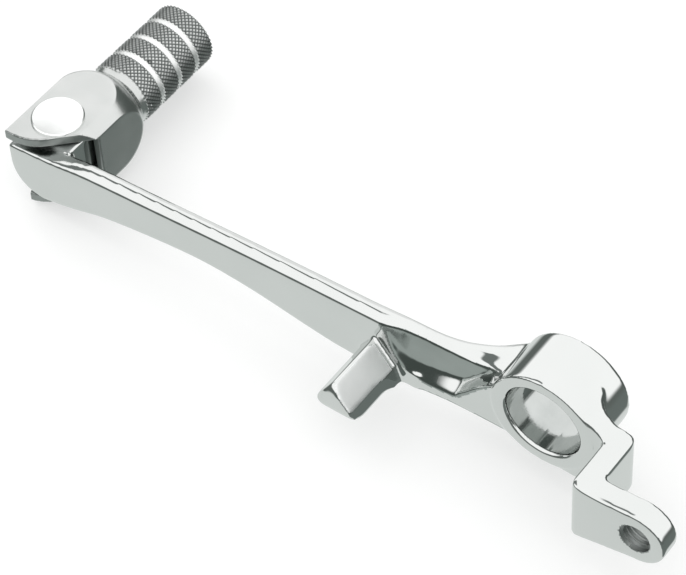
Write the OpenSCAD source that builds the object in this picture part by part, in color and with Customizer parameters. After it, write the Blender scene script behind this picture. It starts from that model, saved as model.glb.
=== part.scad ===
// Rear brake pedal lever for a motorcycle: one polished forging with a pivot boss at the
// rear, a Z-bent push-rod strap behind it, a stop lug that stands out from the blade, and
// a folding, knurled toe peg on a riveted hinge at the front.
// X runs from the toe to the pivot, Y along the pivot bore towards the peg's tip, Z up.
// The origin is the middle of the pivot bore.

/* [Pivot boss] */
// Radius of the pivot bore, mm
bore_r = 10; // [8:0.25:10.5]
// Outer radius of the pivot boss, mm
boss_r = 13.7; // [13:0.1:15]
// Length of the boss along the bore, mm
boss_len = 16; // [15.6:0.2:20]
// Bevel at both mouths of the bore, mm
bore_bevel = 0.6; // [0.2:0.1:1]

/* [Blade] */
// Distance from the pivot bore to the toe hinge pin, mm
reach = 151; // [146:0.5:158]
// Depth of the blade's near face from the middle of the bore, mm
near_face = 7.5; // [7:0.1:7.7]
// Height of the ridge along the blade's top, mm
ridge_h = 1; // [0.2:0.1:1.4]
// Radius of the blade's lower toe corner, mm
toe_corner_r = 10; // [7:0.5:11]

/* [Stop lug] */
// Reach of the stop lug in front of the bore's middle, mm
lug_reach = 25.6; // [18:0.2:28]

/* [Push-rod strap] */
// Thickness of the strap, mm
strap_t = 6; // [4.5:0.25:6.5]
// Distance from the boss's near face out to the strap's near face, mm
strap_crank = 13.9; // [10:0.1:16]
// Core radius of the tapped push-rod hole, mm
rod_hole_r = 3.4; // [2.5:0.1:4]
// Distance from the pivot back to the tapped hole, mm
rod_x = 33.7; // [32:0.1:36]

/* [Toe hinge] */
// Radius of the hinge pin's shank, mm
pin_r = 4; // [3:0.1:4.2]
// Radius of the hinge pin's flat head, mm
pin_head_r = 6.75; // [6:0.25:6.9]
// Height that the pin's head stands above the ear, mm
pin_head_h = 0.8; // [0.5:0.1:1.4]
// Radius of the hinge tongue's rounded end, mm
tongue_r = 8.8; // [8.2:0.1:8.9]
// Thickness of each ear of the toe peg, mm
ear_t = 2.7; // [2.2:0.1:3]

/* [Toe peg] */
// Radius of the round stock that the hinge block is milled from, mm
block_r = 14.1; // [13.8:0.1:14.6]
// Distance from the peg's axis to the hinge block's flat that faces the pivot, mm
block_flat = 11; // [10.6:0.1:11.4]
// Radius over the points of the knurl, mm
knurl_r = 9.2; // [9:0.05:9.5]
// Number of knurled bands
bands = 4; // [2:1:5]
// Length of one knurled band, mm
band_len = 5.4; // [4.4:0.2:6]
// Width of the polished groove between two bands, mm
groove_w = 1.6; // [1.2:0.1:2]
// Diamonds round the knurl
diamonds = 44; // [30:2:48]
// Depth of the knurl, mm
knurl_depth = 0.55; // [0.3:0.05:0.6]

/* [Return spring] */
// Radius of the spring wire, mm
wire_r = 0.7; // [0.5:0.05:0.75]
// Turns of the spring round the hinge pin
spring_turns = 3; // [2:1:3]

/* [Hidden] */
$fn = 96;
see = 0.02;                      // cutters run this far past a face

metal = [0.86, 0.87, 0.86];
knurled_metal = [0.7, 0.71, 0.7];
spring_steel = [0.45, 0.46, 0.47];

// Height and place of the toe hinge
peg_z = -9.2;                    // the toe peg's axis
block_half = 11.4;               // from that axis to the ears' outer faces
block_top = peg_z + block_half;
block_low = peg_z - block_half;
ear_play = 0.3;                  // between each ear and the tongue
tongue_top = block_top - ear_t - ear_play;
tongue_low = block_low + ear_t + ear_play;
pin_y = 3.2;                     // the hinge pin's place across the blade
pin_play = 0.05;

function slope(p, i) =
    let (a = max(i - 1, 0), b = min(i + 1, len(p) - 1))
    (p[b][1] - p[a][1]) / (p[b][0] - p[a][0]);

function span(p, x, i = 0) = i >= len(p) - 2 || x < p[i + 1][0] ? i : span(p, x, i + 1);

// A smooth curve through hand-set stations
function curve(p, x) =
    let (i = span(p, x), w = p[i + 1][0] - p[i][0], t = (x - p[i][0]) / w)
    (2 * t * t * t - 3 * t * t + 1) * p[i][1] + (t * t * t - 2 * t * t + t) * w * slope(p, i)
    + (3 * t * t - 2 * t * t * t) * p[i + 1][1] + (t * t * t - t * t) * w * slope(p, i + 1);

function unit(v) = v / norm(v);

// A corner b between a and c, rounded from the distance r on each side
function round_corner(a, b, c, r, n) =
    let (p = b + unit(a - b) * r, q = b + unit(c - b) * r)
    [for (k = [0 : n]) let (t = k / n) (1 - t) * (1 - t) * p + 2 * t * (1 - t) * b + t * t * q];

// A closed outline with its corners rounded; each corner is [x, y, r]
function rounded(corners, n = 5) =
    let (m = len(corners))
    [for (i = [0 : m - 1])
        let (a = corners[(i + m - 1) % m], b = corners[i], c = corners[(i + 1) % m])
        each (b[2] > 0
            ? round_corner([a[0], a[1]], [b[0], b[1]], [c[0], c[1]], b[2], n)
            : [[b[0], b[1]]])];

// Turns a drawing in x and z into a slab between two places across the blade
module slab(y0, y1) {
    translate([0, y1, 0])
        rotate([90, 0, 0])
            linear_extrude(height = y1 - y0)
                children();
}

// The blade's lines from toe to boss, each station a place along X, drawn at a reach
// of 151 mm, and a value
drawn_reach = 151;
top_line = [[-158.5, -2.6], [-145, -1.5], [-135, -0.2], [-113, 1.2], [-82, 3.1], [-53, 4.2],
            [-41, 4.4], [-30, 2.9], [-20, 2.5], [-12, 5], [-5, 8]];
low_line = [[-158.5, -17.6], [-148.5, -17.6], [-140, -15.8], [-130.5, -12.9], [-114, -10.2],
            [-98.5, -8.8], [-83.5, -9.6], [-68.6, -11.9], [-57, -13.3], [-37, -13.2],
            [-25, -11.7], [-5, -11.2]];
far_line = [[-158.5, -2.2], [-50, -2.2], [-38, -1.4], [-28, 0.5], [-20, 4], [-13, 7.4], [-5, 7.8]];
ridge_line = [[-158.5, 0.05], [-145, 0.05], [-133, 1], [-24, 1], [-10, 0.2], [-5, 0.1]];
// A hollow between the stop lug and the boss: how far the top's near edge sets back there,
// and how far below the top its lower rim runs
setback_line = [[-46, 0], [-43, 0.5], [-40, 1.5], [-34, 2.7], [-26, 3.6], [-18, 4.4], [-13, 3.4], [-5, 2]];
rim_line = [[-45.4, 0.3], [-43.6, 1], [-41.4, 8.2], [-38, 11.2], [-34.5, 12], [-24.2, 9.6],
            [-18.5, 3], [-14.5, 0.4]];
toe_length = 7.5;                // from the hinge pin to the blade's toe end
blade_front = -reach - toe_length;
blade_rear = -5;

// The underside, with the toe's round corner
function low_at(x, s) =
    let (inside = blade_front + toe_corner_r - x)
    curve(low_line, s)
        + (inside > 0
            ? toe_corner_r - sqrt(max(0, toe_corner_r * toe_corner_r - inside * inside))
            : 0);

// One section of the blade, thirteen points counted from the underside's near edge
edge = 0.7;
function blade_section(x) =
    let (s = x * drawn_reach / reach, t = curve(top_line, s), b = low_at(x, s),
         f = curve(far_line, s), n = -near_face, crown = curve(ridge_line, s) * ridge_h,
         back = n + lookup(x, setback_line), rim = lookup(x, rim_line))
    [[x, n + 1, b], [x, f - 1, b], [x, f - 0.3, b + 0.3], [x, f, b + 1], [x, f, t - edge],
     [x, f - 0.25, t], [x, (back + f) / 2, t + crown], [x, back + 0.25, t], [x, back, t - edge],
     [x, back + (n - back) * 0.12, t - edge - rim * 0.66], [x, n, t - edge - rim],
     [x, n, b + 1], [x, n + 0.3, b + 0.3]];

hollow_start = -46;
coarse_steps = 31;
fine_steps = 32;
toe_places = [for (a = [8 : 12 : 80]) blade_front + toe_corner_r * (1 - cos(a))];
coarse_places = [for (k = [0 : coarse_steps - 1])
    blade_front + toe_corner_r + (hollow_start - blade_front - toe_corner_r) * k / coarse_steps];
fine_places = [for (k = [0 : fine_steps])
    hollow_start + (blade_rear - hollow_start) * k / fine_steps];
blade_places = concat([blade_front], toe_places, coarse_places, fine_places);

// A solid through rings of points, both ends closed
module skin(rings) {
    n = len(rings);
    m = len(rings[0]);
    sides = [for (k = [0 : n - 2], j = [0 : m - 1])
        let (a = k * m + j, b = k * m + (j + 1) % m, c = a + m, d = b + m)
        each [[a, c, b], [b, c, d]]];
    first = [[for (j = [0 : m - 1]) j]];
    last = [[for (j = [m - 1 : -1 : 0]) (n - 1) * m + j]];
    polyhedron(points = [for (ring = rings) each ring], faces = concat(sides, first, last));
}

module blade() {
    skin([for (x = blade_places) blade_section(x)]);
}

// The stop lug in x and z: its top slopes down towards the pivot
lug_outline = [
    [-46.4, -1.0, 0.8],
    [-41, -8.0, 1],
    [-40.4, -13.3, 1.2],
    [-49.4, -13.1, 1.6],
    [-51, -7.4, 1.8],
];
// Its side view in y and z
lug_side = [
    [-near_face + 4, 2, 0],
    [-lug_reach + 2.6, 0, 2],
    [-lug_reach, -3.4, 2],
    [-lug_reach, -10.4, 2.2],
    [-lug_reach + 5, -13.6, 3],
    [-near_face - 5, -15.4, 3],
    [-near_face + 4, -16, 0],
];
lug_fillet = 7;                  // carries the lug into the blade on the pivot side
fillet_x = -40.9;
fillet_low = -13.1;
fillet_top = -7.9;

module stop_lug() {
    intersection() {
        slab(-lug_reach - 1, -near_face + 2)
            polygon(rounded(lug_outline));
        translate([-60, 0, 0])
            rotate([90, 0, 90])
                linear_extrude(height = 40)
                    polygon(rounded(lug_side));
    }
    translate([fillet_x, -near_face, fillet_low])
        linear_extrude(height = fillet_top - fillet_low)
            difference() {
                translate([-1, -lug_fillet])
                    square([lug_fillet + 0.8, lug_fillet + 1]);
                translate([lug_fillet, -lug_fillet])
                    circle(r = lug_fillet);
            }
}

// The tail in x and z: tangent to the boss above, running down to the strap
tail_top = 55;                   // where its upper line leaves the boss, degrees
tail_low = -101;
tail_side = [
    [0, 0, 0],
    [boss_r * cos(tail_top), boss_r * sin(tail_top), 0],
    [16.3, 5.2, 1.6],
    [21.8, 4.4, 0],
    [21.8, -12.6, 0],
    [14, -14.8, 3],
    [boss_r * cos(tail_low), boss_r * sin(tail_low), 0],
];
// Its plan: as deep as the boss's root, then thin where the strap starts
tail_plan = [
    [-2, -near_face, 0],
    [16.8, -near_face, 0],
    [16.8, -2, 0],
    [16.3, -2, 0],
    [11.6, -1.4, 2.4],
    [10.6, 1.6, 0],
    [-2, 1.6, 0],
];

module tail() {
    intersection() {
        slab(-boss_len / 2, boss_len / 2)
            polygon(rounded(tail_side));
        translate([0, 0, -20])
            linear_extrude(height = 40)
                polygon(rounded(tail_plan));
    }
}

// The strap's plan from above: back from the tail, forwards, then back again
leg_x = 16.4;
leg_t = 5.6;
strap_near = -boss_len / 2 - strap_crank;
strap_far = strap_near + strap_t;
strap_plan = [
    [13, -near_face, 0],
    [leg_x, -near_face, 1.2],
    [leg_x, strap_near, 2.6],
    [45, strap_near, 0],
    [45, strap_far, 0],
    [leg_x + leg_t, strap_far, 1.6],
    [leg_x + leg_t, -2, 2.6],
    [13, -2, 0],
];
rod_z = -2.1;
strap_end_r = 7.6;

// The strap in x and z: a round end about the tapped hole, deeper at the root
strap_root = [
    [12, 7.2, 0],
    [16.3, 5.2, 1.6],
    [23, 4.6, 3],
    [rod_x, rod_z + strap_end_r, 0],
    [rod_x, rod_z - strap_end_r, 0],
    [21, -12.4, 4],
    [12, -14.6, 0],
];

module strap() {
    intersection() {
        translate([0, 0, -20])
            linear_extrude(height = 40)
                polygon(rounded(strap_plan));
        slab(-30, 0) {
            polygon(rounded(strap_root));
            translate([rod_x, rod_z])
                circle(r = strap_end_r);
        }
    }
}

// The hinge tongue: square where it stops the peg, round where the peg folds to
square_end = 7.6;
pivot_side = 8;                  // from the pin to the tongue's flat towards the pivot
tongue_root = 5.8;               // from the pin back into the blade
stop_gap = 0.1;
spring_mean_r = pin_r + wire_r + 0.55;
spring_pocket_r = spring_mean_r + wire_r + 0.4;
spring_pitch = 2 * wire_r + 0.25;
spring_pocket_h = spring_turns * spring_pitch + 2 * wire_r + 0.9;
window_start = 134;              // degrees; the leg swings from 180 to 142 as the peg folds
window_end = 188;

module tongue() {
    height = tongue_top - tongue_low;
    translate([-reach, pin_y, tongue_low])
        linear_extrude(height = height) {
            intersection() {
                circle(r = tongue_r);
                translate([-square_end, -tongue_root])
                    square([square_end + pivot_side, 40]);
            }
            translate([-square_end, -tongue_root])
                square([square_end + pivot_side, tongue_root]);
            translate([-square_end, 0])
                square([square_end, tongue_r]);
        }
}

// The pin's hole, the spring's pocket and the window that its outer leg swings in
module tongue_cuts() {
    translate([-reach, pin_y, tongue_low - 1]) {
        cylinder(r = pin_r + pin_play, h = block_half * 2);
        cylinder(r = spring_pocket_r, h = spring_pocket_h + 1);
        rotate([0, 0, window_start])
            rotate_extrude(angle = window_end - window_start)
                translate([spring_pocket_r - 0.6, 0])
                    square([6, spring_pocket_h + 0.6]);
    }
}

module lever_arm() {
    color(metal)
        difference() {
            union() {
                blade();
                stop_lug();
                slab(-boss_len / 2, boss_len / 2)
                    circle(r = boss_r);
                tail();
                strap();
                tongue();
            }
            slab(-boss_len, boss_len)
                circle(r = bore_r);
            for (side = [-1, 1])
                translate([0, side * (boss_len / 2 + see), 0])
                    rotate([side * 90, 0, 0])
                        cylinder(r1 = bore_r + bore_bevel + see, r2 = bore_r - see,
                                 h = bore_bevel + 2 * see);
            translate([rod_x, strap_near - 1, rod_z])
                rotate([-90, 0, 0])
                    cylinder(r = rod_hole_r, h = strap_t + 2);
            for (side = [-1, 1])
                translate([rod_x, strap_near + strap_t / 2 + side * (strap_t / 2 + see), rod_z])
                    rotate([side * 90, 0, 0])
                        cylinder(r1 = rod_hole_r + bore_bevel + see, r2 = rod_hole_r - see,
                                 h = bore_bevel + 2 * see);
            tongue_cuts();
        }
}

// Room between the ears that the tongue turns in, seen from above
pocket_r = 9.2;
slot_face = 2;                   // the slot's end beside the pocket, beyond the pin

module slot_plan() {
    circle(r = pocket_r);
    translate([-20, -20])
        square([40, 20 + slot_face]);
    translate([-20, -1])
        square([20, 1 + tongue_r + stop_gap]);
}

dome_y = 12.8;                   // centre of the block's round shoulder
neck_r = 8.7;
neck_end = 26;
toe_flat = 8.3;                  // from the peg's axis to the flat flush with the blade's toe
ear_corner = 6.9;                // from the pin to the 45 degree corner cut
ear_back = -near_face - 0.1 - pin_y;
ear_cut_x = ear_corner * sqrt(2) + ear_back;

// The ears seen from above, about the pin: the corner by the blade is cut off and rounded
ear_plan = [
    [-20, ear_back, 0],
    [ear_cut_x, ear_back, 5],
    [block_flat + 2, block_flat + 2 - ear_corner * sqrt(2), 0],
    [block_flat + 2, 40, 0],
    [-20, 40, 0],
];

module hinge_block() {
    difference() {
        intersection() {
            translate([-reach, dome_y, peg_z])
                rotate([-90, 0, 0])
                    union() {
                        translate([0, 0, -30])
                            cylinder(r = block_r, h = 30);
                        sphere(r = block_r);
                        cylinder(r = neck_r, h = neck_end - dome_y);
                    }
            translate([-reach - toe_flat, -near_face - 1, block_low])
                cube([toe_flat + block_flat, 60, 2 * block_half]);
            translate([-reach, pin_y, block_low - 1])
                linear_extrude(height = 2 * block_half + 2)
                    polygon(rounded(ear_plan));
        }
        translate([-reach, pin_y, tongue_low - ear_play])
            linear_extrude(height = tongue_top - tongue_low + 2 * ear_play)
                slot_plan();
        translate([-reach, pin_y, block_low - 1])
            cylinder(r = pin_r, h = 2 * block_half + 2);
        translate([-reach, pin_y - spring_mean_r, block_low - 1])
            cylinder(r = wire_r + 0.15, h = 6, $fn = 24);
    }
}

columns = 2 * diamonds;
plain_r = knurl_r - knurl_depth - 0.05;   // the polished grooves
rows = 8;                        // steps between high and low points along a band
pitch = band_len + groove_w;
knurl_len = bands * band_len + (bands - 1) * groove_w;

// Each ring is a height, the radius at even columns and the radius at odd columns
function band_rings(h) =
    [for (k = [0 : rows])
        k % 2 == 0
            ? [h + band_len * k / rows, knurl_r, knurl_r - knurl_depth]
            : [h + band_len * k / rows, knurl_r - knurl_depth, knurl_r]];

ramp = 0.15;
function groove_rings(h) = [[h + ramp, plain_r, plain_r], [h + groove_w - ramp, plain_r, plain_r]];

knurl_rings = concat(
    [[-0.6, plain_r, plain_r], [0.05, plain_r, plain_r]],
    [for (b = [0 : bands - 1])
        each concat(band_rings(0.2 + b * pitch),
                    b < bands - 1 ? groove_rings(0.2 + b * pitch + band_len) : [])],
    [[knurl_len + 0.7, plain_r - 0.6, plain_r - 0.6]]);

function knurl_points() =
    [for (ring = knurl_rings, c = [0 : columns - 1])
        let (r = c % 2 == 0 ? ring[1] : ring[2], a = 360 * c / columns)
        [r * cos(a), r * sin(a), ring[0]]];

// Every quad is split between its two low corners, so that each diamond stays a clean point
function knurl_faces(n) =
    [for (k = [0 : n - 2], c = [0 : columns - 1])
        let (a = k * columns + c, b = k * columns + (c + 1) % columns,
             d = a + columns, e = b + columns,
             high = c % 2 == 0 ? knurl_rings[k][1] > knurl_rings[k][2]
                               : knurl_rings[k][2] > knurl_rings[k][1])
        each (high ? [[a, d, b], [b, d, e]] : [[a, d, e], [a, e, b]])];

module knurl() {
    n = len(knurl_rings);
    start = [[for (c = [0 : columns - 1]) c]];
    end = [[for (c = [columns - 1 : -1 : 0]) (n - 1) * columns + c]];
    polyhedron(points = knurl_points(), faces = concat(knurl_faces(n), start, end));
}

module toe_peg() {
    color(knurled_metal)
        union() {
            hinge_block();
            translate([-reach, neck_end, peg_z])
                rotate([-90, 0, 0])
                    knurl();
        }
}

// The rivet: a flat head above, a shank through ears and tongue, a closed end below
module hinge_pin() {
    tail_r = pin_r + 1.5;
    tail_h = 0.9;
    color(metal)
        translate([-reach, pin_y, 0])
            rotate_extrude()
                polygon([
                    [0, block_low - tail_h],
                    [tail_r * 0.6, block_low - tail_h],
                    [tail_r, block_low - tail_h * 0.35],
                    [tail_r, block_low],
                    [pin_r, block_low],
                    [pin_r, block_top],
                    [pin_head_r, block_top],
                    [pin_head_r, block_top + pin_head_h * 0.65],
                    [pin_head_r - 0.35, block_top + pin_head_h],
                    [0, block_top + pin_head_h],
                ]);
}

spring_steps = 20;               // rings to a turn
wire_sides = 8;
coil_z = tongue_low + wire_r + 0.25;
spring_leg = 2.2;                // the outer leg, which swings in the tongue's window

// The coil's centre line, started at the leg that drops into the lower ear
function coil_point(s) =
    [spring_mean_r * cos(360 * s - 90), spring_mean_r * sin(360 * s - 90),
     coil_z + s * spring_pitch];

module return_spring() {
    last_turn = spring_turns - 0.25;
    rings = [for (k = [0 : last_turn * spring_steps])
        let (s = k / spring_steps, p = coil_point(s), a = 360 * s - 90)
        [for (j = [0 : wire_sides - 1])
            let (b = -360 * j / wire_sides)
            p + wire_r * [cos(b) * cos(a), cos(b) * sin(a), sin(b)]]];
    color(spring_steel)
        translate([-reach, pin_y, 0]) {
            skin(rings);
            translate([0, -spring_mean_r, block_low + 0.6])
                cylinder(r = wire_r, h = coil_z - block_low - 0.6, $fn = 16);
            translate([-spring_mean_r, 0, coil_z + last_turn * spring_pitch])
                rotate([0, -90, 0])
                    cylinder(r = wire_r, h = spring_leg, $fn = 16);
        }
}

lever_arm();
toe_peg();
hinge_pin();
return_spring();
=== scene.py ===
import bpy, math
from mathutils import Matrix, Vector


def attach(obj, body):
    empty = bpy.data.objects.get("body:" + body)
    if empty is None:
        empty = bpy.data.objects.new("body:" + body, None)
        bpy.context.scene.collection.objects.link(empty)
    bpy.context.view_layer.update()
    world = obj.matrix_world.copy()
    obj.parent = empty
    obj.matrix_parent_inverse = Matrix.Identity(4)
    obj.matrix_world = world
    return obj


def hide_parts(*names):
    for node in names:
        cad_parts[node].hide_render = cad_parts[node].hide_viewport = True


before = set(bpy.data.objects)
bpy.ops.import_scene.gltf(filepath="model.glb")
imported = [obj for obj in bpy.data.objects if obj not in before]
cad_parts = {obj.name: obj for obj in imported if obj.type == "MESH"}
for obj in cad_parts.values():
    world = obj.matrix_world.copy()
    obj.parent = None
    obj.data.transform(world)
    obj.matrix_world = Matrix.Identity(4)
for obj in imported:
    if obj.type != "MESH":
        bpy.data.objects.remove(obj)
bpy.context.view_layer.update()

mm = 0.001


# small helpers

# sRGB hex to the linear colour that a shader socket wants
def hexToLinear(hexText):
    channels = [int(hexText[i:i + 2], 16) / 255 for i in (1, 3, 5)]
    linear = [c / 12.92 if c <= 0.04045 else ((c + 0.055) / 1.055) ** 2.4 for c in channels]
    return (*linear, 1.0)


def deselectAll():
    if bpy.context.object and bpy.context.object.mode != "OBJECT":
        bpy.ops.object.mode_set(mode="OBJECT")
    bpy.ops.object.select_all(action="DESELECT")


def makeActive(obj):
    deselectAll()
    obj.select_set(True)
    bpy.context.view_layer.objects.active = obj


def applyModifier(obj, kind, **settings):
    makeActive(obj)
    modifier = obj.modifiers.new(kind.lower(), kind)
    for name, value in settings.items():
        setattr(modifier, name, value)
    bpy.ops.object.modifier_apply(modifier=modifier.name)


# puts the object's place into its mesh
def settle(obj):
    makeActive(obj)
    bpy.ops.object.transform_apply(location=True, rotation=True, scale=True)


# a welded copy of a CAD node's mesh, to be shaped further
def mergedCopy(nodeName, newName):
    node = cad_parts[nodeName]
    copy = bpy.data.objects.new(newName, node.data.copy())
    bpy.context.scene.collection.objects.link(copy)
    copy.matrix_world = node.matrix_world
    copy.data.materials.clear()
    settle(copy)
    bpy.ops.object.mode_set(mode="EDIT")
    bpy.ops.mesh.select_all(action="SELECT")
    bpy.ops.mesh.remove_doubles(threshold=0.000002)
    bpy.ops.object.mode_set(mode="OBJECT")
    return copy


# a round rod as a primitive, its axis turned off Z, set in place
def addRod(name, radius, length, place, turn, sides=128):
    deselectAll()
    bpy.ops.mesh.primitive_cylinder_add(vertices=sides, radius=radius, depth=length,
                                        location=place, rotation=turn)
    rod = bpy.context.object
    rod.name = name
    settle(rod)
    return rod


def addCone(name, radiusLow, radiusHigh, length, place, turn, sides=128):
    deselectAll()
    bpy.ops.mesh.primitive_cone_add(vertices=sides, radius1=radiusLow, radius2=radiusHigh,
                                    depth=length, location=place, rotation=turn)
    cone = bpy.context.object
    cone.name = name
    settle(cone)
    return cone


def joinTo(target, *others):
    deselectAll()
    for other in others:
        other.select_set(True)
    target.select_set(True)
    bpy.context.view_layer.objects.active = target
    bpy.ops.object.join()


def cutAway(target, *cutters):
    for cutter in cutters:
        applyModifier(target, "BOOLEAN", operation="DIFFERENCE", object=cutter, solver="EXACT")
        bpy.data.objects.remove(cutter, do_unlink=True)


def finishPiece(obj, node, body, material, angle=32):
    makeActive(obj)
    bpy.ops.object.shade_smooth_by_angle(angle=math.radians(angle))
    obj.data.materials.clear()
    obj.data.materials.append(material)
    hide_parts(node)
    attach(obj, body)


# materials

# adds a node, sets its values and links its inputs from (node, output) pairs; a socket is
# given by its name, or by its number where names repeat
def addNode(tree, kind, settings=None, links=None):
    node = tree.nodes.new(kind)
    for name, value in (settings or {}).items():
        if isinstance(name, int) or name in node.inputs:
            node.inputs[name].default_value = value
        else:
            setattr(node, name, value)
    for name, (source, output) in (links or {}).items():
        tree.links.new(source.outputs[output], node.inputs[name])
    return node


def newMaterial(name):
    material = bpy.data.materials.new(name)
    material.use_nodes = True
    material.node_tree.nodes.clear()
    return material, material.node_tree


# Mirror-polished forged steel: buffed on a cloth wheel and plated bright, so it shows
# sharp reflections with a faint haze and very fine wheel lines along the blade
mirrorPolish = {
    "colour": "#DEDFDE",
    "hazeColour": "#D3D6D4",
    "roughLow": 0.045,
    "roughHigh": 0.1,
    "hazeSize": 24 * mm,
    "lineSize": 0.9 * mm,
    "lineDepth": 0.002 * mm,
}

# Milled and lightly polished steel of the hinge block: the same metal, but its flats keep
# a fine grain from the belt, so reflections are blurred along it; its darker colour is painted
# shade
beltPolishAndPaintedShade = {
    "colour": "#D2D3D2",
    "hazeColour": "#C6C9C7",
    "roughLow": 0.17,
    "roughHigh": 0.26,
    "hazeSize": 9 * mm,
    "lineSize": 0.45 * mm,
    "lineDepth": 0.006 * mm,
}

# Bright nickel on the rivet's head, paler than the block round it; the extra paleness is a painted
# highlight
rivetNickelAndHighlight = {
    "colour": "#F6F7F6",
    "hazeColour": "#F0F1F0",
    "roughLow": 0.2,
    "roughHigh": 0.27,
    "hazeSize": 4 * mm,
    "lineSize": 0.6 * mm,
    "lineDepth": 0.002 * mm,
}

# Reamed bore: bright from the tool, with a thin uneven film of grease
greasedSteel = {
    "colour": "#CACDCB",
    "hazeColour": "#B2B6B4",
    "roughLow": 0.07,
    "roughHigh": 0.14,
    "hazeSize": 6 * mm,
    "lineSize": 0.4 * mm,
    "lineDepth": 0.008 * mm,
}

# The hinge tongue, the walls between the ears and the tapped hole: cut and left as they are,
# because no wheel reaches in there, so they are rougher; their darker colour is painted shade
# between the ears and in the hole
milledSteelWithPaintedShade = {
    "colour": "#A6AAA8",
    "hazeColour": "#8F9492",
    "roughLow": 0.36,
    "roughHigh": 0.46,
    "hazeSize": 5 * mm,
    "lineSize": 0.4 * mm,
    "lineDepth": 0.008 * mm,
}

# The hollow beside the lug: the wheel only brushes it, so it is a little rougher than the blade;
# its greyer colour is painted shade in the recess
buffedHollowWithPaintedShade = {
    "colour": "#A8AEAB",
    "hazeColour": "#8C9390",
    "roughLow": 0.08,
    "roughHigh": 0.16,
    "hazeSize": 14 * mm,
    "lineSize": 0.6 * mm,
    "lineDepth": 0.004 * mm,
}

# The stop face: ground flat after the forging, so it stays satin and pale
groundSteel = {
    "colour": "#F4F5F4",
    "hazeColour": "#E8EAE9",
    "roughLow": 0.44,
    "roughHigh": 0.54,
    "hazeSize": 5 * mm,
    "lineSize": 0.4 * mm,
    "lineDepth": 0.006 * mm,
}

# Bright turned nickel between the bands of the grip, satin from the tool, so it stays
# white all round
turnedNickel = {
    "colour": "#FBFCFB",
    "hazeColour": "#F4F5F4",
    "roughLow": 0.42,
    "roughHigh": 0.5,
    "hazeSize": 4 * mm,
    "lineSize": 0.5 * mm,
    "lineDepth": 0.003 * mm,
}

wheelLineStretch = (0.06, 1.0, 1.0)    # the wheel runs along X, and so do the lines that it leaves


# One tree for the polished and machined metals: a haze that shifts colour and roughness a
# little, and fine wheel lines
def makePolish(name, look):
    material, tree = newMaterial(name)
    place = addNode(tree, "ShaderNodeTexCoord")
    haze = addNode(tree, "ShaderNodeTexNoise",
                   {"Scale": 1 / look["hazeSize"], "Detail": 3.0, "Roughness": 0.55},
                   {"Vector": (place, "Object")})
    colour = addNode(tree, "ShaderNodeMix",
                     {"data_type": "RGBA", 6: hexToLinear(look["colour"]),
                      7: hexToLinear(look["hazeColour"])},
                     {0: (haze, "Fac")})
    rough = addNode(tree, "ShaderNodeMapRange",
                    {"From Min": 0.3, "From Max": 0.7,
                     "To Min": look["roughLow"], "To Max": look["roughHigh"]},
                    {"Value": (haze, "Fac")})
    along = addNode(tree, "ShaderNodeMapping", {"Scale": wheelLineStretch},
                    {"Vector": (place, "Object")})
    lines = addNode(tree, "ShaderNodeTexNoise",
                    {"Scale": 1 / look["lineSize"], "Detail": 2.0, "Roughness": 0.6},
                    {"Vector": (along, "Vector")})
    bump = addNode(tree, "ShaderNodeBump", {"Strength": 0.5, "Distance": look["lineDepth"]},
                   {"Height": (lines, "Fac")})
    shader = addNode(tree, "ShaderNodeBsdfPrincipled", {"Metallic": 1.0},
                     {"Base Color": (colour, 2), "Roughness": (rough, "Result"),
                      "Normal": (bump, "Normal")})
    addNode(tree, "ShaderNodeOutputMaterial", None, {"Surface": (shader, "BSDF")})
    return material


# Knurled steel: pressed diamonds whose points are worn bright, with a painted highlight and patches
# of dull scale, and valleys whose dark colour is painted shade, so each diamond stands out against
# a dark outline
knurledSteel = {
    "wornPointHighlightColour": "#F0F2F1",
    "paintedValleyShade": "#4C514F",
    "dullColour": "#CDD1CF",
    "valleyRadius": 8.68 * mm,
    "pointRadius": 9.12 * mm,
    "pointRough": 0.28,
    "valleyRough": 0.5,
    "patchSize": 5 * mm,
}


def makeKnurledSteel():
    look = knurledSteel
    material, tree = newMaterial("knurledSteel")
    place = addNode(tree, "ShaderNodeTexCoord")
    # the distance from the peg's axis tells points from valleys
    centred = addNode(tree, "ShaderNodeMapping",
                      {"Location": (-hingeX, 0, -pegZ)}, {"Vector": (place, "Object")})
    across = addNode(tree, "ShaderNodeMapping", {"Scale": (1, 0, 1)},
                     {"Vector": (centred, "Vector")})
    radius = addNode(tree, "ShaderNodeVectorMath", {"operation": "LENGTH"},
                     {0: (across, "Vector")})
    height = addNode(tree, "ShaderNodeMapRange",
                     {"From Min": look["valleyRadius"], "From Max": look["pointRadius"]},
                     {"Value": (radius, "Value")})
    patches = addNode(tree, "ShaderNodeTexNoise",
                      {"Scale": 1 / look["patchSize"], "Detail": 4.0},
                      {"Vector": (place, "Object")})
    points = addNode(tree, "ShaderNodeMix",
                     {"data_type": "RGBA", 6: hexToLinear(look["wornPointHighlightColour"]),
                      7: hexToLinear(look["dullColour"])},
                     {0: (patches, "Fac")})
    # points: wear with a painted highlight; valleys: painted shade
    colour = addNode(tree, "ShaderNodeMix",
                     {"data_type": "RGBA", 6: hexToLinear(look["paintedValleyShade"])},
                     {0: (height, "Result"), 7: (points, 2)})
    rough = addNode(tree, "ShaderNodeMapRange",
                    {"To Min": look["valleyRough"], "To Max": look["pointRough"]},
                    {"Value": (height, "Result")})
    shader = addNode(tree, "ShaderNodeBsdfPrincipled", {"Metallic": 1.0},
                     {"Base Color": (colour, 2), "Roughness": (rough, "Result")})
    addNode(tree, "ShaderNodeOutputMaterial", None, {"Surface": (shader, "BSDF")})
    return material


# Oiled music wire of the return spring: drawn, dark and a little streaky
springWire = {"colour": "#77797B", "darkColour": "#4A4B4D", "rough": 0.34, "streakSize": 0.8 * mm}


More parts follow.
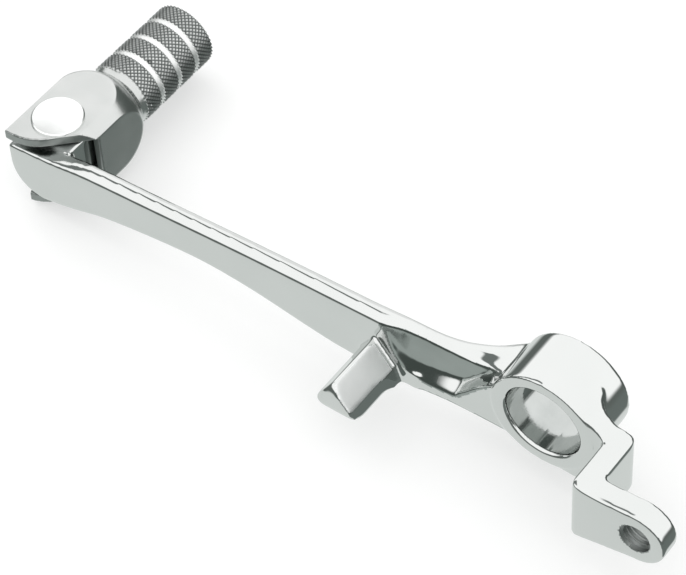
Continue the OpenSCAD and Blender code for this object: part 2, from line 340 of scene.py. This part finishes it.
def makeSpringWire():
    look = springWire
    material, tree = newMaterial("oiledSpringWire")
    place = addNode(tree, "ShaderNodeTexCoord")
    streaks = addNode(tree, "ShaderNodeTexNoise",
                      {"Scale": 1 / look["streakSize"], "Detail": 3.0},
                      {"Vector": (place, "Object")})
    colour = addNode(tree, "ShaderNodeMix",
                     {"data_type": "RGBA", 6: hexToLinear(look["colour"]),
                      7: hexToLinear(look["darkColour"])},
                     {0: (streaks, "Fac")})
    shader = addNode(tree, "ShaderNodeBsdfPrincipled",
                     {"Metallic": 1.0, "Roughness": look["rough"]},
                     {"Base Color": (colour, 2)})
    addNode(tree, "ShaderNodeOutputMaterial", None, {"Surface": (shader, "BSDF")})
    return material


alongY = (math.radians(90), 0, 0)
hingeX, pegZ = -151 * mm, -9.2 * mm    # the hinge pin's axis in X and the peg's axis in Z

polishedMetal = makePolish("mirrorPolishedSteel", mirrorPolish)
blockMetal = makePolish("beltPolishedSteelPaintedShade", beltPolishAndPaintedShade)
rivetMetalWithHighlight = makePolish("nickelRivetPaintedHighlight", rivetNickelAndHighlight)
greasedMetal = makePolish("greasedReamedSteel", greasedSteel)
milledMetalWithPaintedShade = makePolish("milledSteelPaintedShade", milledSteelWithPaintedShade)
hollowMetalWithPaintedShade = makePolish("buffedSteelPaintedShade", buffedHollowWithPaintedShade)
groundMetal = makePolish("groundSatinSteel", groundSteel)
grooveMetal = makePolish("turnedNickelGroove", turnedNickel)
knurledMetal = makeKnurledSteel()
wireMetal = makeSpringWire()
print("materials ready")

# lever arm: the forging's corners are melted together by a fine remesh, then the machined
# bores are cut crisp
leverSizes = {
    "grain": 0.38 * mm,
    "softening": 22,
    "plugInset": 0.02 * mm,
    "boreRadius": 10.03 * mm, "borePlug": 10.8 * mm, "boreCut": 30 * mm,
    "boreBevel": 0.7 * mm, "boreSides": 128,
    "bossLength": 16 * mm,
    "rodPlace": (33.7 * mm, -18.9 * mm, -2.1 * mm),
    "rodRadius": 3.95 * mm, "rodPlug": 4.4 * mm, "rodCut": 12 * mm,
    "rodBevel": 0.25 * mm, "rodSides": 64,
    "strapThickness": 6 * mm,
    "threadPitch": 1.25 * mm,
    "threadHalf": 0.46,    # half the ridge's foot, as a share of the pitch
    "threadCrest": 3.4 * mm, "threadRoot": 4.1 * mm,
    "threadTurns": 3.7, "threadSteps": 48,
    "toeCorner": 8.6 * mm, "toeCornerSteps": 10,
    "toeBlockSize": (10.2 * mm, 5.1 * mm, 14.6 * mm),
    "toeBlockPlace": (-154.2 * mm, -4.9 * mm, -10.3 * mm),
    "flankPlace": (-41 * mm, -12.1 * mm, -7.9 * mm),
    "flankCut": (12 * mm, 9 * mm, 8 * mm),
    "flankLean": 19,
}


# the ridge of the tapped hole's thread: a three-sided ring wound up the hole by Screw
def addThread(sizes):
    deselectAll()
    bpy.ops.mesh.primitive_circle_add(vertices=3, radius=1, fill_type="NOTHING")
    ridge = bpy.context.object
    ridge.name = "threadRidge"
    halfFoot = sizes["threadPitch"] * sizes["threadHalf"]
    corners = [(sizes["threadCrest"], 0, 0),
               (sizes["threadRoot"], 0, halfFoot),
               (sizes["threadRoot"], 0, -halfFoot)]
    for vertex, corner in zip(ridge.data.vertices, corners):
        vertex.co = corner
    climb = sizes["threadPitch"] * sizes["threadTurns"]
    steps = int(sizes["threadSteps"] * sizes["threadTurns"])
    applyModifier(ridge, "SCREW", angle=math.tau * sizes["threadTurns"], screw_offset=climb,
                  steps=steps, render_steps=steps, axis="Z")
    bpy.ops.object.mode_set(mode="EDIT")
    bpy.ops.mesh.select_all(action="SELECT")
    bpy.ops.mesh.fill_holes(sides=0)
    bpy.ops.mesh.normals_make_consistent(inside=False)
    bpy.ops.object.mode_set(mode="OBJECT")
    ridge.rotation_euler = alongY
    x, y, z = sizes["rodPlace"]
    ridge.location = (x, y + climb / 2, z)
    settle(ridge)
    return ridge


# fills the blade's lower toe corner out to a tighter round, which hides the ear behind it
def addToeCorner(sizes):
    deselectAll()
    bpy.ops.mesh.primitive_cube_add(size=1, location=sizes["toeBlockPlace"])
    block = bpy.context.object
    block.name = "toeCorner"
    block.scale = sizes["toeBlockSize"]
    settle(block)
    lowX = min(v.co.x for v in block.data.vertices)
    lowZ = min(v.co.z for v in block.data.vertices)
    bpy.ops.object.mode_set(mode="EDIT")
    bpy.ops.mesh.select_all(action="DESELECT")
    bpy.ops.mesh.select_mode(type="EDGE")
    bpy.ops.object.mode_set(mode="OBJECT")
    for edge in block.data.edges:
        ends = [block.data.vertices[i].co for i in edge.vertices]
        edge.select = all(abs(e.x - lowX) < 1e-6 and abs(e.z - lowZ) < 1e-6 for e in ends)
    bpy.ops.object.mode_set(mode="EDIT")
    bpy.ops.mesh.bevel(offset=sizes["toeCorner"], segments=sizes["toeCornerSteps"])
    bpy.ops.mesh.select_mode(type="VERT")
    bpy.ops.object.mode_set(mode="OBJECT")
    return block


# takes off the flat top of the lug's fillet, so that the flank runs down steep and dark
def cutFlank(arm, sizes):
    deselectAll()
    bpy.ops.mesh.primitive_cube_add(size=1, location=(0, 0, 0))
    cutter = bpy.context.object
    cutter.name = "flankCutter"
    cutter.scale = sizes["flankCut"]
    settle(cutter)
    length, _, depth = sizes["flankCut"]
    cutter.data.transform(Matrix.Translation((length / 2, 0, -depth / 2)))
    lean = Matrix.Rotation(math.radians(-sizes["flankLean"]), 4, "Y")
    cutter.data.transform(Matrix.Translation(sizes["flankPlace"]) @ lean)
    cutAway(arm, cutter)


# a round cutter through a hole, and a cone at each mouth that leaves a bevel
def addHoleCutters(place, radius, cutLength, wall, bevel, sides):
    cutters = [addRod("holeCutter", radius, cutLength, place, alongY, sides)]
    x, y, z = place
    for side in (-1, 1):
        cutters.append(addCone("bevelCutter", radius + 2 * bevel, radius - 2 * bevel, 4 * bevel,
                               (x, y + side * (wall / 2 + bevel), z),
                               (math.radians(side * 90), 0, 0), sides))
    return cutters


def buildLeverArm():
    sizes = leverSizes
    arm = mergedCopy("lever_arm", "leverArm")
    borePlug = addRod("borePlug", sizes["borePlug"], sizes["bossLength"] - sizes["plugInset"],
                      (0, 0, 0), alongY)
    rodPlug = addRod("rodPlug", sizes["rodPlug"], sizes["strapThickness"] - sizes["plugInset"],
                     sizes["rodPlace"], alongY)
    joinTo(arm, borePlug, rodPlug, addToeCorner(sizes))
    cutFlank(arm, sizes)
    applyModifier(arm, "REMESH", mode="VOXEL", voxel_size=sizes["grain"])
    applyModifier(arm, "SMOOTH", factor=0.5, iterations=sizes["softening"])
    boreCutters = addHoleCutters((0, 0, 0), sizes["boreRadius"], sizes["boreCut"],
                                 sizes["bossLength"], sizes["boreBevel"], sizes["boreSides"])
    rodCutters = addHoleCutters(sizes["rodPlace"], sizes["rodRadius"], sizes["rodCut"],
                                sizes["strapThickness"], sizes["rodBevel"], sizes["rodSides"])
    cutAway(arm, *boreCutters, *rodCutters)
    joinTo(arm, addThread(sizes))
    return arm


# where each finish of the arm begins and ends: a place in metres, or a part of the face's
# normal, which tells a wall from a top
finishPlaces = {
    "boreMargin": 0.05 * mm, "rodMargin": 0.2 * mm,
    "tongueBack": -142.6 * mm, "tongueFront": -2.3 * mm, "tongueTurn": 0.45,
    "toeBandX": -158.5 * mm, "toeBandY": -7 * mm, "toeBandSlope": 0.3,
    "hollowStart": -45.5 * mm, "hollowEnd": -11 * mm, "hollowTop": 4.2 * mm,
    "bladeFace": -7.42 * mm, "hollowTurn": -0.25, "hollowLift": 0.6,
    "stopStart": -52 * mm, "stopEnd": -36 * mm, "stopFront": -9 * mm,
    "stopTurn": 0.6, "stopLift": 0.4,
}


# gives each face of the arm the finish of its place: 1 bore, 2 tongue and tapped hole, with painted
# shade, 3 hollow, with painted shade, 4 the ground stop face, and 0 for all that the wheel reaches
def finishByPlace(arm):
    places = finishPlaces
    boreWall = leverSizes["boreRadius"] + places["boreMargin"]
    rodWall = leverSizes["rodRadius"] + places["rodMargin"]
    rodX, _, rodZ = leverSizes["rodPlace"]
    for face in arm.data.polygons:
        x, y, z = face.center
        turn = face.normal
        inBore = math.hypot(x, z) < boreWall
        inRod = math.hypot(x - rodX, z - rodZ) < rodWall
        bandEdge = places["toeBandY"] + (x - places["toeBandX"]) * places["toeBandSlope"]
        onTongue = (x < places["tongueBack"] and turn.x < places["tongueTurn"]
                    and (y > bandEdge or y > places["tongueFront"]))
        inHollow = (places["hollowStart"] < x < places["hollowEnd"]
                    and turn.y < places["hollowTurn"] and turn.z < places["hollowLift"]
                    and y > places["bladeFace"] and z < places["hollowTop"])
        onStop = (places["stopStart"] < x < places["stopEnd"] and y < places["stopFront"]
                  and turn.x > places["stopTurn"] and turn.z > places["stopLift"])
        if inBore:
            face.material_index = 1
        elif onStop:
            face.material_index = 4
        # the tongue and the tapped hole take the milled metal, whose darker colour is painted shade
        elif onTongue or inRod:
            face.material_index = 2
        # the hollow's greyer metal is painted shade in the recess
        elif inHollow:
            face.material_index = 3


leverArm = buildLeverArm()
finishPiece(leverArm, "lever_arm", "lever", polishedMetal)
# the milled and hollow metals among these carry painted shade
for metal in (greasedMetal, milledMetalWithPaintedShade, hollowMetalWithPaintedShade, groundMetal):
    leverArm.data.materials.append(metal)
finishByPlace(leverArm)
print("lever arm", len(leverArm.data.polygons))

# toe peg: the milled hinge block gets softened corners, the knurled grip stays crisp
pegSizes = {
    "grain": 0.27 * mm,
    "softening": 5,
    "knurlStart": 26.02 * mm,
    "blockOverlap": 0.25 * mm, "gripOverlap": 0.3 * mm,
    "firstBand": 26.2 * mm, "bandLength": 5.4 * mm, "grooveWidth": 1.6 * mm,
    "knurlLength": 26.4 * mm,
    "earTrimPlace": (-155.4 * mm, -5 * mm, -19.75 * mm),
    "earTrimTurn": 25, "earTrimRadius": 30 * mm, "earTrimHeight": 4 * mm,
    "slotDepth": 13 * mm, "slotHalf": 8.95 * mm, "slotSide": 10.6 * mm,
    "wallLift": 0.6, "wallTurn": -0.3,    # parts of the normal that tell a wall over the blade
    "blockAngle": 32, "knurlAngle": 8,
}


# cuts the object across at planeY, closes the cut and keeps the tip or the block
def keepOneSide(obj, planeY, keepTip):
    makeActive(obj)
    bpy.ops.object.mode_set(mode="EDIT")
    bpy.ops.mesh.select_all(action="SELECT")
    bpy.ops.mesh.bisect(plane_co=(0, planeY, 0), plane_no=(0, 1, 0), use_fill=True,
                        clear_inner=keepTip, clear_outer=not keepTip)
    bpy.ops.object.mode_set(mode="OBJECT")


# rounds the lower ear's toe corner back, so that the blade's toe hides it
def trimLowerEar(block, sizes):
    reach = sizes["earTrimRadius"]
    cutter = addRod("earCutter", reach, sizes["earTrimHeight"], (0, 0, 0), (0, 0, 0))
    spin = math.radians(sizes["earTrimTurn"])
    offset = Vector((-math.cos(spin), -math.sin(spin), 0)) * reach
    cutter.data.transform(Matrix.Translation(Vector(sizes["earTrimPlace"]) + offset))
    cutAway(block, cutter)


def buildToePeg():
    sizes = pegSizes
    block = mergedCopy("toe_peg", "toePeg")
    grip = mergedCopy("toe_peg", "toePegGrip")
    applyModifier(block, "REMESH", mode="VOXEL", voxel_size=sizes["grain"])
    applyModifier(block, "SMOOTH", factor=0.5, iterations=sizes["softening"])
    trimLowerEar(block, sizes)
    keepOneSide(block, sizes["knurlStart"] + sizes["blockOverlap"], keepTip=False)
    keepOneSide(grip, sizes["knurlStart"] - sizes["gripOverlap"], keepTip=True)
    return block, grip


# the grooves between the bands and the ring at the neck were turned bright, so the faces
# there take the polished metal
def shineGrooves(grip, sizes, materialIndex):
    pitch = sizes["bandLength"] + sizes["grooveWidth"]
    for face in grip.data.polygons:
        y = face.center.y - sizes["firstBand"]
        if y < 0 or y % pitch > sizes["bandLength"] or y > sizes["knurlLength"]:
            face.material_index = materialIndex


# the ears' walls over the blade and the slot between the ears are milled, not buffed, with painted
# shade
def paintShadeOnHingeWalls(block, sizes, materialIndex):
    for face in block.data.polygons:
        x, y, z = face.center
        upright = abs(face.normal.z) < sizes["wallLift"]
        earWall = upright and face.normal.y < sizes["wallTurn"] and y < sizes["slotDepth"]
        betweenEars = abs(z - pegZ) < sizes["slotHalf"] and y < sizes["slotDepth"]
        if earWall or (betweenEars and x - hingeX < sizes["slotSide"]):
            face.material_index = materialIndex


toePeg, toeGrip = buildToePeg()
makeActive(toePeg)
bpy.ops.object.shade_smooth_by_angle(angle=math.radians(pegSizes["blockAngle"]))
# the block's darker colour is painted shade that keeps the ears' tops grey
toePeg.data.materials.append(blockMetal)
# this second metal paints shade on the ears' walls and in the slot between them
toePeg.data.materials.append(milledMetalWithPaintedShade)
paintShadeOnHingeWalls(toePeg, pegSizes, 1)
makeActive(toeGrip)
bpy.ops.object.shade_smooth_by_angle(angle=math.radians(pegSizes["knurlAngle"]))
toeGrip.data.materials.append(knurledMetal)
toeGrip.data.materials.append(grooveMetal)
shineGrooves(toeGrip, pegSizes, 1)
joinTo(toePeg, toeGrip)
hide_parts("toe_peg")
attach(toePeg, "folding_peg")
print("toe peg", len(toePeg.data.polygons))

# the rivet: its head's rim is rounded over, as a press leaves it
rivetSizes = {"rimRound": 0.16 * mm, "rimSteps": 3, "rimAngle": 25, "smoothAngle": 30}
hingeRivet = mergedCopy("hinge_pin", "hingeRivet")
applyModifier(hingeRivet, "BEVEL", width=rivetSizes["rimRound"], segments=rivetSizes["rimSteps"],
              limit_method="ANGLE", angle_limit=math.radians(rivetSizes["rimAngle"]))
# the rivet's pale metal paints a highlight on its head
finishPiece(hingeRivet, "hinge_pin", "folding_peg", rivetMetalWithHighlight,
            angle=rivetSizes["smoothAngle"])
print("rivet", len(hingeRivet.data.polygons))

# the spring keeps its CAD shape
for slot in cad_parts["return_spring"].material_slots:
    slot.link = "DATA"
    slot.material = wireMetal
print("spring dressed")

# studio

# the camera stands where the photo's did
cameraSizes = {
    "place": (221.5 * mm, -347.6 * mm, 521.5 * mm),
    "right": (0.8063, 0.5899, -0.0438),
    "down": (0.4255, -0.6299, -0.6497),
    "forward": (-0.4109, 0.5052, -0.7589),
    "lens": 153.3, "sensor": 36, "nearClip": 0.01,
}

keySoftbox = {"place": (-0.75, 0.1, 0.7), "target": (-0.06, 0, 0), "side": 0.6, "power": 2.5}

floorSizes = {"z": -22 * mm, "side": 6, "colour": "#F4F5F4", "ownWhite": 0.5}

# The dome that the metal mirrors: white above, a dark band round the horizon, a pale table
# below that darkens to the pivot's side, a narrow gap between two overhead lights, a dark card
# behind the lever and a small white sheet beside it. Places are parts of a unit direction.
dome = {
    "skyColour": "#FFFFFF",
    "skyStrength": 1.28,
    "skyFrom": 0.02, "skyTo": 0.2,
    "nearSideFrom": 0.2, "nearSideTo": -0.5, "nearSideRise": 0.2,
    "pivotSideFrom": 0.55, "pivotSideTo": 0.8, "pivotSideDrop": 0.2,
    "horizonColour": "#6A706D",
    "tableColour": "#E6EAE8",
    "tableFrom": -0.2, "tableTo": -0.42,
    "shadeColour": "#737B78",
    "shadeFrom": 0.33, "shadeTo": 0.45,
    "gapColour": "#6E7371",
    "gapAcross": (0.124, 0.860, -0.495),
    "gapMiddle": -0.3,
    "gapInner": 0.13, "gapOuter": 0.2,
    "gapEndFrom": -0.34, "gapEndTo": -0.42,
    "cardColour": "#5A605D",
    "cardToward": (0.25, 0.965, -0.05),
    "cardInner": 0.88, "cardOuter": 0.8,
    "sheetToward": (-0.49, 0.87, 0.03),
    "sheetInner": 0.975, "sheetOuter": 0.94,
}


def addCamera():
    camera = bpy.data.objects.new("camera", bpy.data.cameras.new("camera"))
    bpy.context.scene.collection.objects.link(camera)
    right, down, forward = (Vector(cameraSizes[way]) for way in ("right", "down", "forward"))
    turn = Matrix((right, -down, -forward)).transposed().to_4x4()
    camera.matrix_world = Matrix.Translation(cameraSizes["place"]) @ turn
    camera.data.lens = cameraSizes["lens"]
    camera.data.sensor_width = cameraSizes["sensor"]
    camera.data.clip_start = cameraSizes["nearClip"]
    bpy.context.scene.camera = camera


def addFloor():
    deselectAll()
    bpy.ops.mesh.primitive_plane_add(size=floorSizes["side"], location=(0, 0, floorSizes["z"]))
    floor = bpy.context.object
    floor.name = "floor"
    floor.visible_glossy = False    # the metal mirrors the dome's own table instead
    material, tree = newMaterial("paleTable")
    rays = addNode(tree, "ShaderNodeLightPath")
    matt = addNode(tree, "ShaderNodeBsdfDiffuse", {"Color": hexToLinear(floorSizes["colour"])})
    white = addNode(tree, "ShaderNodeEmission", {"Color": (1, 1, 1, 1), "Strength": 1.0})
    share = addNode(tree, "ShaderNodeMath", {"operation": "MULTIPLY", 1: floorSizes["ownWhite"]},
                    {0: (rays, "Is Camera Ray")})
    mix = addNode(tree, "ShaderNodeMixShader", None,
                  {0: (share, 0), 1: (matt, 0), 2: (white, 0)})
    addNode(tree, "ShaderNodeOutputMaterial", None, {"Surface": (mix, 0)})
    floor.data.materials.append(material)


def addSoftbox():
    lamp = bpy.data.objects.new("keySoftbox", bpy.data.lights.new("keySoftbox", "AREA"))
    bpy.context.scene.collection.objects.link(lamp)
    lamp.data.shape = "RECTANGLE"
    lamp.data.size = keySoftbox["side"]
    lamp.data.size_y = keySoftbox["side"]
    lamp.data.energy = keySoftbox["power"]
    lamp.location = keySoftbox["place"]
    aim = Vector(keySoftbox["target"]) - Vector(keySoftbox["place"])
    lamp.rotation_euler = aim.to_track_quat("-Z", "Y").to_euler()
    lamp.visible_glossy = False     # it shapes the shadow; the dome gives the reflections


def addWorld():
    world = bpy.data.worlds.new("studioDome")
    bpy.context.scene.world = world
    world.use_nodes = True
    tree = world.node_tree
    tree.nodes.clear()
    smooth = {"interpolation_type": "SMOOTHSTEP"}
    colours = {"data_type": "RGBA"}
    direction = addNode(tree, "ShaderNodeTexCoord")
    axes = addNode(tree, "ShaderNodeSeparateXYZ", None, {"Vector": (direction, "Generated")})

    # the table, and the dark band above it
    shade = addNode(tree, "ShaderNodeMapRange",
                    {**smooth, "From Min": dome["shadeFrom"], "From Max": dome["shadeTo"]},
                    {"Value": (axes, "X")})
    table = addNode(tree, "ShaderNodeMix",
                    {**colours, 6: hexToLinear(dome["tableColour"]),
                     7: hexToLinear(dome["shadeColour"])},
                    {0: (shade, 0)})
    below = addNode(tree, "ShaderNodeMapRange",
                    {**smooth, "From Min": dome["tableFrom"], "From Max": dome["tableTo"]},
                    {"Value": (axes, "Z")})
    lowHalf = addNode(tree, "ShaderNodeMix", {**colours, 6: hexToLinear(dome["horizonColour"])},
                      {0: (below, 0), 7: (table, 2)})

    # the gap between the overhead lights
    across = addNode(tree, "ShaderNodeVectorMath",
                     {"operation": "DOT_PRODUCT", 1: dome["gapAcross"]},
                     {0: (direction, "Generated")})
    aside = addNode(tree, "ShaderNodeMath", {"operation": "SUBTRACT", 1: dome["gapMiddle"]},
                    {0: (across, "Value")})
    offGap = addNode(tree, "ShaderNodeMath", {"operation": "ABSOLUTE"}, {0: (aside, 0)})
    nearGap = addNode(tree, "ShaderNodeMapRange",
                      {**smooth, "From Min": dome["gapOuter"], "From Max": dome["gapInner"]},
                      {"Value": (offGap, 0)})
    gapEnd = addNode(tree, "ShaderNodeMapRange",
                     {**smooth, "From Min": dome["gapEndFrom"], "From Max": dome["gapEndTo"]},
                     {"Value": (axes, "X")})
    inGap = addNode(tree, "ShaderNodeMath", {"operation": "MULTIPLY"},
                    {0: (nearGap, 0), 1: (gapEnd, 0)})
    sky = addNode(tree, "ShaderNodeMix",
                  {**colours, 6: hexToLinear(dome["skyColour"]), 7: hexToLinear(dome["gapColour"])},
                  {0: (inGap, 0)})

    # the lights start higher towards the near side, and lower towards the pivot's side
    nearSide = addNode(tree, "ShaderNodeMapRange",
                       {**smooth, "From Min": dome["nearSideFrom"], "From Max": dome["nearSideTo"]},
                       {"Value": (axes, "Y")})
    risen = addNode(tree, "ShaderNodeMath",
                    {"operation": "MULTIPLY_ADD", 1: -dome["nearSideRise"]},
                    {0: (nearSide, 0), 2: (axes, "Z")})
    pivotSide = addNode(tree, "ShaderNodeMapRange",
                        {**smooth, "From Min": dome["pivotSideFrom"],
                         "From Max": dome["pivotSideTo"]},
                        {"Value": (axes, "X")})
    dropped = addNode(tree, "ShaderNodeMath",
                      {"operation": "MULTIPLY_ADD", 1: dome["pivotSideDrop"]},
                      {0: (pivotSide, 0), 2: (risen, 0)})
    above = addNode(tree, "ShaderNodeMapRange",
                    {**smooth, "From Min": dome["skyFrom"], "From Max": dome["skyTo"]},
                    {"Value": (dropped, 0)})
    lit = addNode(tree, "ShaderNodeMix", colours, {0: (above, 0), 6: (lowHalf, 2), 7: (sky, 2)})

    # the dark card, then the white sheet that lights the blade's far facet
    for piece, colour in (("card", "cardColour"), ("sheet", "skyColour")):
        facing = addNode(tree, "ShaderNodeVectorMath",
                         {"operation": "DOT_PRODUCT", 1: dome[piece + "Toward"]},
                         {0: (direction, "Generated")})
        onPiece = addNode(tree, "ShaderNodeMapRange",
                          {**smooth, "From Min": dome[piece + "Outer"],
                           "From Max": dome[piece + "Inner"]},
                          {"Value": (facing, "Value")})
        lit = addNode(tree, "ShaderNodeMix", {**colours, 7: hexToLinear(dome[colour])},
                      {0: (onPiece, 0), 6: (lit, 2)})

    strength = addNode(tree, "ShaderNodeMapRange",
                       {"To Min": 1.0, "To Max": dome["skyStrength"]}, {"Value": (above, 0)})
    soft = addNode(tree, "ShaderNodeBackground", None,
                   {"Color": (lit, 2), "Strength": (strength, 0)})
    rays = addNode(tree, "ShaderNodeLightPath")
    white = addNode(tree, "ShaderNodeBackground", {"Color": (1, 1, 1, 1), "Strength": 1.0})
    mix = addNode(tree, "ShaderNodeMixShader", None,
                  {0: (rays, "Is Camera Ray"), 1: (soft, 0), 2: (white, 0)})
    addNode(tree, "ShaderNodeOutputWorld", None, {"Surface": (mix, 0)})


addCamera()
addFloor()
addWorld()
addSoftbox()
bpy.context.scene.view_settings.view_transform = "Standard"
print("studio ready")
